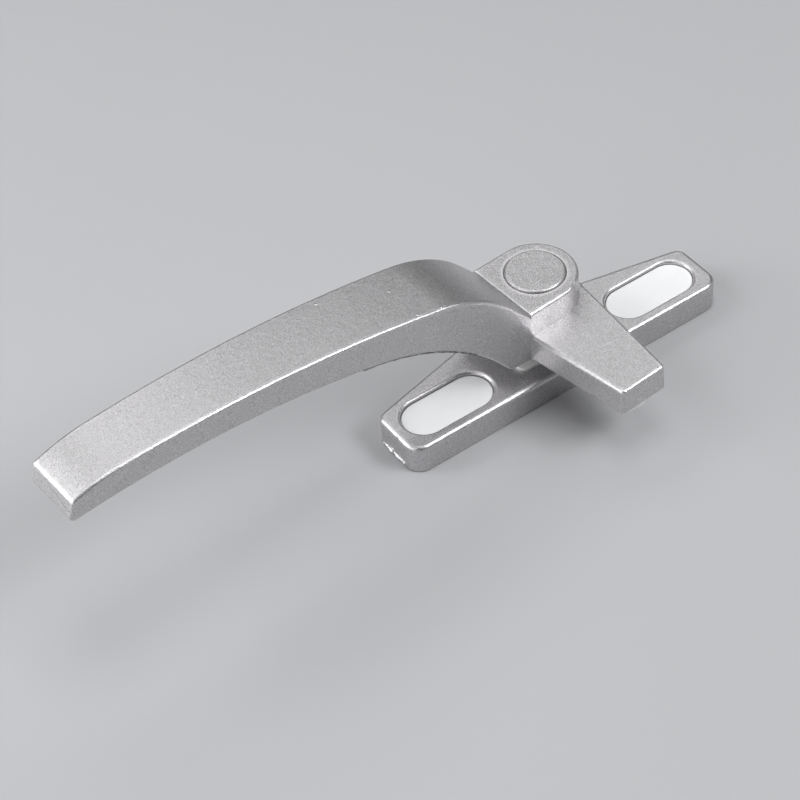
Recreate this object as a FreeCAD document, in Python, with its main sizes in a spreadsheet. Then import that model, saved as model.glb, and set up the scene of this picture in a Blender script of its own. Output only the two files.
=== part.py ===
import FreeCAD, Part
import math
import os
import Sketcher
from FreeCAD import Placement, Rotation, Vector

# Window locking handle: a cast lever and tongue on one hub, turning on a screwed base plate.
# Millimetres. X runs along the base, the lever points to -X and the tongue to -Y when shut,
# Z is up from the mounting face, and the origin is where the pivot axis meets that face.
# Pieces that turn are drawn in the handle's own frame: its origin is on the pivot axis at the
# hub's underside seat, its lever points to -X and its tongue to -Y.

# Driving sizes
SIZES = {
    # Base plate
    "base_length": 98.3,
    "base_front": 15.0,
    "base_back": 1.35,
    "base_thickness": 8.4,
    "base_boss_radius": 11.85,
    "base_front_corner": 4.3,
    "base_back_corner": 3.0,
    "base_rounding": 1.2,
    "core_wall": 2.0,
    "core_roof": 3.0,
    "core_length": 6.2,
    "core_back": 6.2,
    "core_corner": 1.5,
    # Screw recesses and their covers
    "end_wall": 3.42,
    "front_wall": 3.1,
    "recess_straight": 14.16,
    "recess_radius": 6.0,
    "recess_floor": 3.0,
    "recess_rounding": 0.8,
    "slot_length": 8.0,
    "slot_width": 5.0,
    "slot_sink": 1.4,
    "cover_gap": 0.14,
    "cover_sink": 0.9,
    "cover_plate": 1.4,
    "cover_wall": 1.1,
    "cover_rounding": 0.35,
    # Fits between pieces
    "set_gap": 0.02,
    "run_gap": 0.05,
    "loose_gap": 0.32,
    # Pivot
    "pin_radius": 3.0,
    "pin_end": 0.55,
    "pin_chamfer": 0.5,
    "peen_radius": 4.4,
    "peen_height": 0.9,
    "back_well_radius": 6.3,
    "back_well_depth": 2.2,
    "back_washer_radius": 6.0,
    "back_washer_thickness": 1.0,
    "wear_length": 23.8,
    "wear_width": 19.5,
    "wear_thickness": 0.9,
    "wear_corner": 2.8,
    "bush_radius": 4.5,
    "bush_chamfer": 0.4,
    "thrust_radius": 6.6,
    "thrust_thickness": 0.8,
    "spring_radius": 6.2,
    "spring_bore": 3.4,
    "spring_thickness": 0.7,
    "spring_cone": 0.45,
    "nut_corner_radius": 5.75,
    "nut_height": 4.6,
    "nut_crown": 5.1,
    # Click ball and stop
    "click_pitch": 6.75,
    "ball_radius": 1.5,
    "ball_rise": 0.8,
    "ball_gap": 0.12,
    "dimple_gap": 0.35,
    "ball_well_depth": 5.2,
    "coil_radius": 1.05,
    "coil_wire": 0.2,
    "coil_turns": 4.0,
    "stop_radius": 1.4,
    "stop_rise": 1.6,
    "stop_depth": 5.2,
    "stop_gap": 0.2,
    "stop_roof_gap": 0.5,
    # Turn of the handle, from the line of the base
    "photo_angle": 3.6,
    "shut_angle": 5.0,
    "open_angle": 90.0,
    # Hub
    "foot_radius": 9.0,
    "foot_height": 4.5,
    "hub_radius": 10.95,
    "hub_flat": 10.85,
    "hub_height": 15.65,
    "hub_rounding": 0.8,
    "hub_low_rounding": 0.4,
    "well_radius": 7.0,
    "well_floor": 9.6,
    "cap_radius": 7.8,
    "cap_gap": 0.13,
    "cap_seat": 2.3,
    "cap_rise": 0.6,
    "cap_roof": 1.3,
    "cap_wall": 1.6,
    "cap_rounding": 0.7,
    # Tongue and its pad
    "flange_radius": 11.95,
    "tongue_reach": 39.95,
    "tongue_tip": 13.9,
    "tongue_thickness": 7.75,
    "tongue_draft_angle": 2.0,
    "tongue_rounding": 0.9,
    "tongue_low_rounding": 0.7,
    "tongue_corner": 1.2,
    "pad_tip_gap": 1.65,
    "pad_length": 15.0,
    "pad_width": 8.8,
    "pad_end_radius": 9.7,
    "pad_thickness": 3.85,
    "pad_rounding": 0.7,
    "peg_radius": 2.0,
    "peg_length": 3.0,
    # Lever, seen from the side
    "lever_reach": 140.2,
    "lever_step": 0.6,
    "lever_rise_angle": 49.5,
    "lever_bend_start": 16.4,
    "lever_bend": 39.5,
    "lever_bend_end": 37.2,
    "lever_long_bend": 347.5,
    "heel_reach": 17.1,
    "heel_radius": 2.5,
    "heel_straight": 5.9,
    "belly_reach": 56.1,
    "belly_thickness": 10.09,
    "tip_thickness": 5.95,
    "under_long_bend": 250.0,
    "tip_lean": 2.0,
    "tip_droop": 42.0,
    "tip_droop_length": 13.5,
    "tip_rounding": 1.5,
    "tip_low_rounding": 1.4,
    # Lever, seen from above
    "waist_reach": 29.0,
    "waist_inset": 0.7,
    "tip_width": 16.2,
    "lever_rounding": 0.8,
}

START, END, CENTRE = range(1, 4)
X_AXIS, Y_AXIS = range(-1, -3, -1)


class Size:
    """A size that carries its value and its formula in the sheet."""

    def __init__(self, value, text):
        self.value = value
        self.text = text

    def __add__(self, other):
        other = as_size(other)
        return Size(self.value + other.value, "(%s + %s)" % (self.text, other.text))

    def __sub__(self, other):
        other = as_size(other)
        return Size(self.value - other.value, "(%s - %s)" % (self.text, other.text))

    def __mul__(self, other):
        other = as_size(other)
        return Size(self.value * other.value, "(%s * %s)" % (self.text, other.text))

    def __truediv__(self, other):
        other = as_size(other)
        return Size(self.value / other.value, "(%s / %s)" % (self.text, other.text))

    def __neg__(self):
        return Size(-self.value, "(0 - %s)" % self.text)


def as_size(number):
    if isinstance(number, Size):
        return number
    return Size(float(number), str(number))


def tangent(angle):
    return Size(math.tan(math.radians(angle.value)), "tan(%s * 1 deg)" % angle.text)


def cosine(angle):
    return Size(math.cos(math.radians(angle.value)), "cos(%s * 1 deg)" % angle.text)


def sine(angle):
    return Size(math.sin(math.radians(angle.value)), "sin(%s * 1 deg)" % angle.text)


def degrees_of_sine(ratio):
    """The angle in degrees that has this sine."""
    return Size(math.degrees(math.asin(ratio.value)), "(asin(%s) / (1 deg))" % ratio.text)


def make_sheet():
    """Writes the driving sizes to the sheet and returns them with their formulas."""
    sheet = doc.addObject("Spreadsheet::Sheet", "sizes")
    found = {}
    for row, (name, value) in enumerate(SIZES.items(), start=1):
        sheet.set("A%d" % row, name)
        sheet.set("B%d" % row, str(value))
        sheet.setAlias("B%d" % row, name)
        found[name] = Size(value, "sizes." + name)
    doc.recompute()
    return found


def tie(thing, path, size):
    """Binds a property of an object to a size."""
    thing.setExpression(path, as_size(size).text)


# Sketch helpers


def plane_of(body, role):
    for feature in body.Origin.OriginFeatures:
        if feature.Role == role:
            return feature
    raise ValueError(role)


def new_sketch(body, name, role="XY_Plane", height=None):
    sketch = body.newObject("Sketcher::SketchObject", name)
    sketch.AttachmentSupport = [(plane_of(body, role), "")]
    sketch.MapMode = "FlatFace"
    if height is not None:
        tie(sketch, "AttachmentOffset.Base.z", height)
    return sketch


def constrain(sketch, size, kind, *where):
    """Adds a driving dimension and binds it to a size."""
    size = as_size(size)
    index = sketch.addConstraint(Sketcher.Constraint(kind, *where, size.value))
    tie(sketch, "Constraints[%d]" % index, size)


def fix_point(sketch, piece, point, x, y):
    """Holds one point of a sketch at x and y; None puts it on that axis."""
    if x is None:
        sketch.addConstraint(Sketcher.Constraint("PointOnObject", piece, point, Y_AXIS))
    else:
        constrain(sketch, x, "DistanceX", -1, START, piece, point)
    if y is None:
        sketch.addConstraint(Sketcher.Constraint("PointOnObject", piece, point, X_AXIS))
    else:
        constrain(sketch, y, "DistanceY", -1, START, piece, point)


def flat(x, y):
    return Vector(x, y, 0)


def add_line(sketch, start, end):
    return sketch.addGeometry(Part.LineSegment(flat(*start), flat(*end)), False)


def add_arc(sketch, centre, radius, start, end):
    """Adds an arc that runs anticlockwise between two angles in radians."""
    circle = Part.Circle(flat(*centre), Vector(0, 0, 1), radius)
    return sketch.addGeometry(Part.ArcOfCircle(circle, start, end), False)


def join(sketch, first, first_end, second, second_end, smooth=False):
    kind = "Tangent" if smooth else "Coincident"
    sketch.addConstraint(Sketcher.Constraint(kind, first, first_end, second, second_end))


def add_polygon(sketch, corners):
    """Adds a closed polygon whose corners are pairs of sizes."""
    count = len(corners)
    places = [(as_size(x).value, as_size(y).value) for x, y in corners]
    sides = [add_line(sketch, places[i], places[(i + 1) % count]) for i in range(count)]
    for i in range(count):
        join(sketch, sides[i - 1], END, sides[i], START)
        fix_point(sketch, sides[i], START, *corners[i])
    return sides


def add_circle(sketch, x, y, radius):
    """Adds a circle; None puts its centre on that axis."""
    centre = Vector(as_size(x or 0).value, as_size(y or 0).value, 0)
    circle = Part.Circle(centre, Vector(0, 0, 1), as_size(radius).value)
    piece = sketch.addGeometry(circle, False)
    fix_point(sketch, piece, CENTRE, x, y)
    constrain(sketch, radius, "Radius", piece)


def add_slot(sketch, x, y, straight, radius):
    """Adds a slot with round ends that runs along the sketch's x axis."""
    left, right = x - straight / 2, x + straight / 2
    r = radius.value
    turn = math.pi / 2
    near = add_line(sketch, (left.value, y.value - r), (right.value, y.value - r))
    right_end = add_arc(sketch, (right.value, y.value), r, -turn, turn)
    far = add_line(sketch, (right.value, y.value + r), (left.value, y.value + r))
    left_end = add_arc(sketch, (left.value, y.value), r, turn, 3 * turn)
    join(sketch, near, END, right_end, START, smooth=True)
    join(sketch, right_end, END, far, START, smooth=True)
    join(sketch, far, END, left_end, START, smooth=True)
    join(sketch, left_end, END, near, START, smooth=True)
    fix_point(sketch, right_end, CENTRE, right, y)
    constrain(sketch, left, "DistanceX", -1, START, left_end, CENTRE)
    constrain(sketch, radius, "Radius", right_end)


# Feature helpers


def new_body(name):
    body = doc.addObject("PartDesign::Body", name)
    body.Label = name
    return body


def pad(body, name, sketch, length, symmetric=False):
    feature = body.newObject("PartDesign::Pad", name)
    feature.Profile = sketch
    if symmetric:
        feature.SideType = "Symmetric"
    tie(feature, "Length", length)
    doc.recompute()
    return feature


def pocket(body, name, sketch, length=None, upward=False):
    """Cuts a sketch away, down into the body or upward; with no length it cuts through."""
    before = body.Shape.Volume
    feature = body.newObject("PartDesign::Pocket", name)
    feature.Profile = sketch
    feature.Reversed = upward
    if length is None:
        feature.Type = "ThroughAll"
        feature.SideType = "Symmetric"
    else:
        tie(feature, "Length", length)
    doc.recompute()
    check_cut(body, name, before)
    return feature


def check_cut(body, name, before):
    if not body.Shape.Volume < before:
        raise ValueError("%s cuts nothing" % name)


def revolve(body, name, sketch):
    feature = body.newObject("PartDesign::Revolution", name)
    feature.Profile = sketch
    feature.ReferenceAxis = (sketch, ["V_Axis"])
    feature.Angle = 360
    doc.recompute()
    return feature


def edges_where(feature, test):
    """Names the edges of a feature that pass a test."""
    edges = enumerate(feature.Shape.Edges, start=1)
    return ["Edge%d" % number for number, edge in edges if test(edge)]


def round_edges(body, name, base, radius, test):
    feature = body.newObject("PartDesign::Fillet", name)
    feature.Base = (base, edges_where(base, test))
    tie(feature, "Radius", radius)
    doc.recompute()
    return feature


def chamfer_edges(body, name, base, width, test):
    feature = body.newObject("PartDesign::Chamfer", name)
    feature.Base = (base, edges_where(base, test))
    tie(feature, "Size", width)
    doc.recompute()
    return feature


def spread(edge, axis):
    """How far an edge runs along x, y or z."""
    return getattr(edge.BoundBox, axis + "Length")


def middle(edge):
    first, last = edge.ParameterRange
    return edge.valueAt((first + last) / 2)


NEAR = 1e-4


def is_upright(edge):
    return spread(edge, "X") < NEAR and spread(edge, "Y") < NEAR


def lies_at(edge, height):
    """True for an edge that lies level at a height."""
    return abs(edge.BoundBox.ZMin - height.value) < NEAR and spread(edge, "Z") < NEAR


def runs_across(edge):
    return spread(edge, "X") < NEAR and spread(edge, "Z") < NEAR


def stands_at(edge, x, y):
    """True for an upright edge at y, on either side of the middle at x."""
    place = middle(edge)
    across = abs(abs(place.x) - x.value) < NEAR
    return is_upright(edge) and across and abs(place.y - y.value) < NEAR


def turn(piece, angle):
    """Turns a piece about the pivot axis, anticlockwise seen from above."""
    piece.Placement = Placement(Vector(0, 0, 0), Rotation(Vector(0, 0, 1), 1))
    tie(piece, "Placement.Rotation.Angle", angle)


def seat(piece, height, turned=False):
    """Puts a finished piece at its height, and a turning one at the photographed angle."""
    if turned:
        turn(piece, s["photo_angle"])
    tie(piece, "Placement.Base.z", height)


# Base plate


def screw_reach():
    """How far each screw is from the middle of the base."""
    return s["base_length"] / 2 - s["end_wall"] - s["recess_radius"] - s["recess_straight"] / 2


def screw_offset():
    """How far the screws are in front of the pivot."""
    return s["base_front"] - s["front_wall"] - s["recess_radius"]


def make_base_plate():
    """The cast base: straight in front, wider behind the pivot, recessed for the screws."""
    body = new_body("base_plate")
    outline = new_sketch(body, "base_outline")
    half = s["base_length"] / 2
    front, back, boss = -s["base_front"], s["base_back"], s["base_boss_radius"]
    reach = math.hypot(half.value, back.value)
    lean = math.atan2(back.value, half.value) + math.acos(boss.value / reach)
    touch = (boss.value * math.cos(lean), boss.value * math.sin(lean))
    corners = [
        (-half.value, front.value),
        (half.value, front.value),
        (half.value, back.value),
        touch,
    ]
    front_side = add_line(outline, corners[0], corners[1])
    right_side = add_line(outline, corners[1], corners[2])
    right_slope = add_line(outline, corners[2], corners[3])
    crown = add_arc(outline, (0, 0), boss.value, lean, math.pi - lean)
    left_slope = add_line(outline, (-touch[0], touch[1]), (-half.value, back.value))
    left_side = add_line(outline, (-half.value, back.value), corners[0])
    join(outline, front_side, END, right_side, START)
    join(outline, right_side, END, right_slope, START)
    join(outline, right_slope, END, crown, START, smooth=True)
    join(outline, crown, END, left_slope, START, smooth=True)
    join(outline, left_slope, END, left_side, START)
    join(outline, left_side, END, front_side, START)
    fix_point(outline, crown, CENTRE, None, None)
    fix_point(outline, front_side, START, -half, front)
    fix_point(outline, right_side, START, half, front)
    fix_point(outline, right_slope, START, half, back)
    fix_point(outline, left_side, START, -half, back)
    constrain(outline, boss, "Radius", crown)

    top = s["base_thickness"]
    plate = pad(body, "base_plate_pad", outline, top)
    in_front = lambda edge: stands_at(edge, half, front)
    plate = round_edges(body, "front_corners", plate, s["base_front_corner"], in_front)
    behind = lambda edge: stands_at(edge, half, back)
    plate = round_edges(body, "back_corners", plate, s["base_back_corner"], behind)
    at_top = lambda edge: lies_at(edge, top)
    plate = round_edges(body, "top_rounding", plate, s["base_rounding"], at_top)

    recesses = new_sketch(body, "screw_recesses", height=top)
    for x in (-screw_reach(), screw_reach()):
        add_slot(recesses, x, -screw_offset(), s["recess_straight"], s["recess_radius"])
    depth = top - s["recess_floor"]
    plate = pocket(body, "screw_recess_pockets", recesses, depth)
    rim = lambda edge: lies_at(edge, top) and in_recess(edge)
    plate = round_edges(body, "recess_rims", plate, s["recess_rounding"], rim)

    slots = new_sketch(body, "screw_slots", height=s["recess_floor"])
    straight = s["slot_length"] - s["slot_width"]
    for x in (-screw_reach(), screw_reach()):
        add_slot(slots, x, -screw_offset(), straight, s["slot_width"] / 2)
    plate = pocket(body, "screw_slot_pockets", slots, s["recess_floor"])
    sunk = lambda edge: lies_at(edge, s["recess_floor"]) and in_slot(edge)
    plate = chamfer_edges(body, "screw_head_seats", plate, s["slot_sink"], sunk)

    bores = new_sketch(body, "pivot_bores", height=top)
    add_circle(bores, None, None, s["pin_radius"] + s["set_gap"])
    pocket(body, "pivot_bore", bores)
    ball_well = new_sketch(body, "ball_well", height=top)
    add_circle(ball_well, s["click_pitch"], None, s["ball_radius"] + s["ball_gap"])
    pocket(body, "ball_well_pocket", ball_well, s["ball_well_depth"])
    stop_hole = new_sketch(body, "stop_hole", height=top)
    add_circle(stop_hole, -s["click_pitch"], None, s["stop_radius"] + s["set_gap"])
    pocket(body, "stop_hole_pocket", stop_hole, s["stop_depth"])
    back_well = new_sketch(body, "back_well")
    add_circle(back_well, None, None, s["back_well_radius"])
    pocket(body, "back_well_pocket", back_well, s["back_well_depth"], upward=True)

    cores = new_sketch(body, "underside_cores")
    near_y, far_y = front + s["core_wall"], s["core_back"]
    recess_end = screw_reach() - s["recess_straight"] / 2 - s["recess_radius"]
    outer_x = recess_end - s["core_wall"]
    inner_x = outer_x - s["core_length"]
    for a, b in ((inner_x, outer_x), (-outer_x, -inner_x)):
        add_polygon(cores, [(a, near_y), (b, near_y), (b, far_y), (a, far_y)])
    core = pocket(body, "underside_core_pockets", cores, top - s["core_roof"], upward=True)
    in_core = lambda edge: is_upright(edge) and is_core_corner(edge, inner_x, outer_x)
    round_edges(body, "core_corners", core, s["core_corner"], in_core)
    return body


def in_recess(edge):
    """True for a level edge of a screw recess."""
    centre = screw_reach().value
    place = middle(edge)
    across = abs(place.y + screw_offset().value) < s["recess_radius"].value + NEAR
    reach = s["recess_straight"].value / 2 + s["recess_radius"].value + NEAR
    return across and abs(abs(place.x) - centre) < reach


def in_slot(edge):
    """True for a level edge of a screw slot."""
    centre = screw_reach().value
    place = middle(edge)
    across = abs(place.y + screw_offset().value) < s["slot_width"].value / 2 + NEAR
    return across and abs(abs(place.x) - centre) < s["slot_length"].value / 2 + NEAR


def is_core_corner(edge, inner_x, outer_x):
    place = abs(middle(edge).x)
    return min(abs(place - inner_x.value), abs(place - outer_x.value)) < NEAR


# Screw covers


def make_screw_cover(name, x):
    """A white cover with a skirt that stands on the floor of the recess."""
    body = new_body(name)
    outline = new_sketch(body, name + "_outline", height=s["recess_floor"])
    radius = s["recess_radius"] - s["cover_gap"]
    add_slot(outline, x, -screw_offset(), s["recess_straight"], radius)
    height = s["base_thickness"] - s["recess_floor"] - s["cover_sink"]
    block = pad(body, name + "_pad", outline, height)
    top = s["recess_floor"] + height
    at_top = lambda edge: lies_at(edge, top)
    round_edges(body, name + "_rounding", block, s["cover_rounding"], at_top)
    hollow = new_sketch(body, name + "_hollow", height=s["recess_floor"])
    add_slot(hollow, x, -screw_offset(), s["recess_straight"], radius - s["cover_wall"])
    pocket(body, name + "_hollow_pocket", hollow, height - s["cover_plate"], upward=True)
    return body


# Pivot pieces that stay with the base


def stack():
    """Heights of the pieces on the pin, in the base's frame."""
    seat_height = s["base_thickness"] + s["wear_thickness"] + s["run_gap"]
    thrust_top = seat_height + s["well_floor"] + s["thrust_thickness"]
    spring_foot = thrust_top + s["run_gap"]
    spring_step = s["spring_thickness"] + s["spring_cone"]
    nut_foot = spring_foot + spring_step * 2
    return {
        "handle": seat_height,
        "lower_spring": spring_foot,
        "upper_spring": spring_foot + spring_step,
        "nut": nut_foot,
        "pin_top": nut_foot + s["nut_height"] + s["pin_end"],
    }


def make_pivot_pin():
    """The steel pin, with a rivet head under the back washer and a chamfered top."""
    body = new_body("pivot_pin")
    profile = new_sketch(body, "pivot_pin_profile", role="XZ_Plane")
    radius, chamfer = s["pin_radius"], s["pin_chamfer"]
    head_top = s["back_well_depth"] - s["back_washer_thickness"]
    head_foot = head_top - s["peen_height"]
    top = heights["pin_top"]
    corners = [
        (0, head_foot),
        (s["peen_radius"] - s["peen_height"] / 2, head_foot),
        (s["peen_radius"], head_foot + s["peen_height"] / 2),
        (s["peen_radius"], head_top),
        (radius, head_top),
        (radius, top - chamfer),
        (radius - chamfer, top),
        (0, top),
    ]
    add_polygon(profile, corners)
    revolve(body, "pivot_pin_revolve", profile)
    return body


def make_ring(name, inner, outer, foot, height):
    """A flat ring about the pivot axis."""
    body = new_body(name)
    outline = new_sketch(body, name + "_outline", height=foot)
    add_circle(outline, None, None, outer)
    add_circle(outline, None, None, inner)
    pad(body, name + "_pad", outline, height)
    return body


def make_wear_washer():
    """The white plate between hub and base, with holes for the pin, the ball and the stop."""
    body = new_body("wear_washer")
    outline = new_sketch(body, "wear_washer_outline")
    x, y = s["wear_length"] / 2, s["wear_width"] / 2
    add_polygon(outline, [(-x, -y), (x, -y), (x, y), (-x, y)])
    plate = pad(body, "wear_washer_pad", outline, s["wear_thickness"])
    round_edges(body, "wear_washer_corners", plate, s["wear_corner"], is_upright)
    holes = new_sketch(body, "wear_washer_holes")
    add_circle(holes, None, None, s["pin_radius"] + s["loose_gap"])
    add_circle(holes, s["click_pitch"], None, s["ball_radius"] + s["dimple_gap"])
    add_circle(holes, -s["click_pitch"], None, s["stop_radius"] + s["set_gap"])
    pocket(body, "wear_washer_hole_pockets", holes, s["wear_thickness"], upward=True)
    seat(body, s["base_thickness"])
    return body


def make_disc_spring(name, foot, opens_up):
    """A cone spring: a thin ring whose inner edge is higher or lower than its outer edge."""
    body = new_body(name)
    profile = new_sketch(body, name + "_profile", role="XZ_Plane")
    cone, thick = s["spring_cone"], s["spring_thickness"]
    inner_foot, outer_foot = (foot, foot + cone) if opens_up else (foot + cone, foot)
    corners = [
        (s["spring_bore"], inner_foot),
        (s["spring_radius"], outer_foot),
        (s["spring_radius"], outer_foot + thick),
        (s["spring_bore"], inner_foot + thick),
    ]
    add_polygon(profile, corners)
    revolve(body, name + "_revolve", profile)
    return body


def make_lock_nut():
    """A hexagon nut with chamfered corners and a bore that fits the pin."""
    blank = doc.addObject("Part::Prism", "nut_blank")
    blank.Polygon = 6
    tie(blank, "Circumradius", s["nut_corner_radius"])
    tie(blank, "Height", s["nut_height"])
    dome = doc.addObject("Part::Cone", "nut_dome")
    tie(dome, "Radius1", s["nut_corner_radius"] + s["nut_height"] / 2)
    tie(dome, "Radius2", s["nut_crown"])
    tie(dome, "Height", s["nut_height"])
    chamfered = doc.addObject("Part::Common", "nut_chamfered")
    chamfered.Base = blank
    chamfered.Tool = dome
    bore = doc.addObject("Part::Cylinder", "nut_bore")
    tie(bore, "Radius", s["pin_radius"] + s["set_gap"])
    tie(bore, "Height", s["nut_height"])
    nut = doc.addObject("Part::Cut", "lock_nut")
    nut.Label = "lock_nut"
    nut.Base = chamfered
    nut.Tool = bore
    seat(nut, heights["nut"])
    return nut


# Click ball, its spring and the stop


def ball_height():
    return s["base_thickness"] + s["wear_thickness"] + s["ball_rise"] - s["ball_radius"]


def make_detent_ball():
    ball = doc.addObject("Part::Sphere", "detent_ball")
    ball.Label = "detent_ball"
    tie(ball, "Radius", s["ball_radius"])
    tie(ball, "Placement.Base.x", s["click_pitch"])
    tie(ball, "Placement.Base.z", ball_height())
    return ball


def make_detent_spring():
    """The coil spring under the ball, wound from the floor of its well."""
    body = new_body("detent_spring")
    wire = new_sketch(body, "spring_wire", role="XZ_Plane")
    add_circle(wire, s["coil_radius"], None, s["coil_wire"])
    floor = s["base_thickness"] - s["ball_well_depth"] + s["coil_wire"] + s["set_gap"]
    top = ball_height() - s["ball_radius"]
    coil = body.newObject("PartDesign::AdditiveHelix", "spring_coil")
    coil.Profile = wire
    coil.ReferenceAxis = (wire, ["V_Axis"])
    coil.Mode = "height-turns-angle"
    tie(coil, "Height", top - floor)
    tie(coil, "Turns", s["coil_turns"])
    doc.recompute()
    tie(body, "Placement.Base.x", s["click_pitch"])
    tie(body, "Placement.Base.z", floor)
    return body


def make_stop_pin():
    """The pressed-in pin that stops the handle at the ends of its arc slot."""
    body = new_body("stop_pin")
    outline = new_sketch(body, "stop_pin_outline")
    add_circle(outline, -s["click_pitch"], None, s["stop_radius"])
    height = s["stop_depth"] + s["wear_thickness"] + s["stop_rise"]
    post = pad(body, "stop_pin_pad", outline, height)
    at_top = lambda edge: lies_at(edge, height)
    chamfer_edges(body, "stop_pin_chamfer", post, s["stop_radius"] / 4, at_top)
    seat(body, s["base_thickness"] - s["stop_depth"])
    return body


# Handle casting


def add_top_edge(sketch, root, end):
    """Draws the lever's upper edge from the hub: straight, a tight bend, a long bend, a droop.

    Slopes are measured from level, and distances from the pivot.
    """
    bends = (s["lever_bend"], s["lever_long_bend"], s["tip_droop"])
    stops = (s["lever_bend_end"], end - s["tip_droop_length"], end)
    slope = math.radians(s["lever_rise_angle"].value)
    x = s["lever_bend_start"].value
    z = root[1].value + (x - root[0].value) * math.tan(slope)
    line = add_line(sketch, (-root[0].value, root[1].value), (-x, z))
    pieces = [line]
    for bend, stop in zip(bends, stops):
        radius = bend.value
        centre = (x + radius * math.sin(slope), z - radius * math.cos(slope))
        new_slope = math.asin((centre[0] - stop.value) / radius)
        pieces.append(add_slope_arc(sketch, centre, radius, slope, new_slope))
        slope = new_slope
        x, z = stop.value, centre[1] + radius * math.cos(slope)
    for before, after in zip(pieces, pieces[1:]):
        join(sketch, before, END, after, START, smooth=True)
    rise = (s["lever_bend_start"] - root[0]) * tangent(s["lever_rise_angle"])
    fix_point(sketch, line, START, -root[0], root[1])
    fix_point(sketch, line, END, -s["lever_bend_start"], root[1] + rise)
    for piece, bend, stop in zip(pieces[1:], bends, stops):
        constrain(sketch, bend, "Radius", piece)
        constrain(sketch, -stop, "DistanceX", -1, START, piece, END)
    return pieces


def add_slope_arc(sketch, centre, radius, first_slope, last_slope):
    """Adds an arc over its centre, from one slope to another, as distance and height."""
    quarter = math.pi / 2
    about = (-centre[0], centre[1])
    return add_arc(sketch, about, radius, quarter - first_slope, quarter - last_slope)


def add_under_edge(sketch, top_arc, droop, heel):
    """Draws the lever's lower edge: straight from the heel, a bend, then a long bend.

    The long bend keeps the lever's thickness at the belly and at the tip, and the straight
    leaves the heel at the slope from which one bend leads into it.
    """
    top = sketch.Geometry[top_arc]
    reach, tip_reach = s["belly_reach"].value, s["lever_reach"].value
    radius = s["under_long_bend"].value
    over_belly = top.Center.y + math.sqrt(top.Radius**2 - (reach + top.Center.x) ** 2)
    belly = (reach, over_belly - s["belly_thickness"].value)
    tip = (tip_reach, sketch.Geometry[droop].EndPoint.y - s["tip_thickness"].value)
    chord = (tip[0] - belly[0], tip[1] - belly[1])
    half_turn = math.asin(math.hypot(*chord) / (2 * radius))
    belly_slope = math.atan2(chord[1], chord[0]) + half_turn
    tip_slope = belly_slope - 2 * half_turn
    arriving = (math.cos(belly_slope), math.sin(belly_slope))
    foot = (heel[0].value, heel[1].value)
    ahead = (belly[0] - foot[0], belly[1] - foot[1])
    straight = s["heel_straight"].value
    along = ahead[0] * arriving[0] + ahead[1] * arriving[1]
    run = (math.hypot(*ahead) ** 2 - straight**2) / (2 * (along + straight))
    meeting = (ahead[0] - run * arriving[0], ahead[1] - run * arriving[1])
    rise = math.atan2(meeting[1], meeting[0])
    leaving = (math.cos(rise), math.sin(rise))
    bend = run / math.tan((rise - belly_slope) / 2)
    start = (foot[0] + straight * leaving[0], foot[1] + straight * leaving[1])
    bend_centre = (start[0] + bend * leaving[1], start[1] - bend * leaving[0])
    long_centre = (belly[0] + radius * arriving[1], belly[1] - radius * arriving[0])

    line = add_line(sketch, (-foot[0], foot[1]), (-start[0], start[1]))
    first = add_slope_arc(sketch, bend_centre, bend, rise, belly_slope)
    second = add_slope_arc(sketch, long_centre, radius, belly_slope, tip_slope)
    join(sketch, line, END, first, START, smooth=True)
    join(sketch, first, END, second, START, smooth=True)
    fix_point(sketch, line, START, -heel[0], heel[1])
    constrain(sketch, s["heel_straight"], "Distance", line)
    constrain(sketch, s["under_long_bend"], "Radius", second)
    constrain(sketch, -s["belly_reach"], "DistanceX", -1, START, first, END)
    constrain(sketch, -s["lever_reach"], "DistanceX", -1, START, second, END)
    constrain(sketch, s["tip_thickness"], "DistanceY", second, END, droop, END)
    gauge = add_line(sketch, (-reach, belly[1]), (-reach, over_belly))
    sketch.setConstruction(gauge, True)
    join(sketch, gauge, START, first, END)
    sketch.addConstraint(Sketcher.Constraint("Vertical", gauge))
    sketch.addConstraint(Sketcher.Constraint("PointOnObject", gauge, END, top_arc))
    constrain(sketch, s["belly_thickness"], "DistanceY", gauge, START, gauge, END)
    return [line, first, second]


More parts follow.
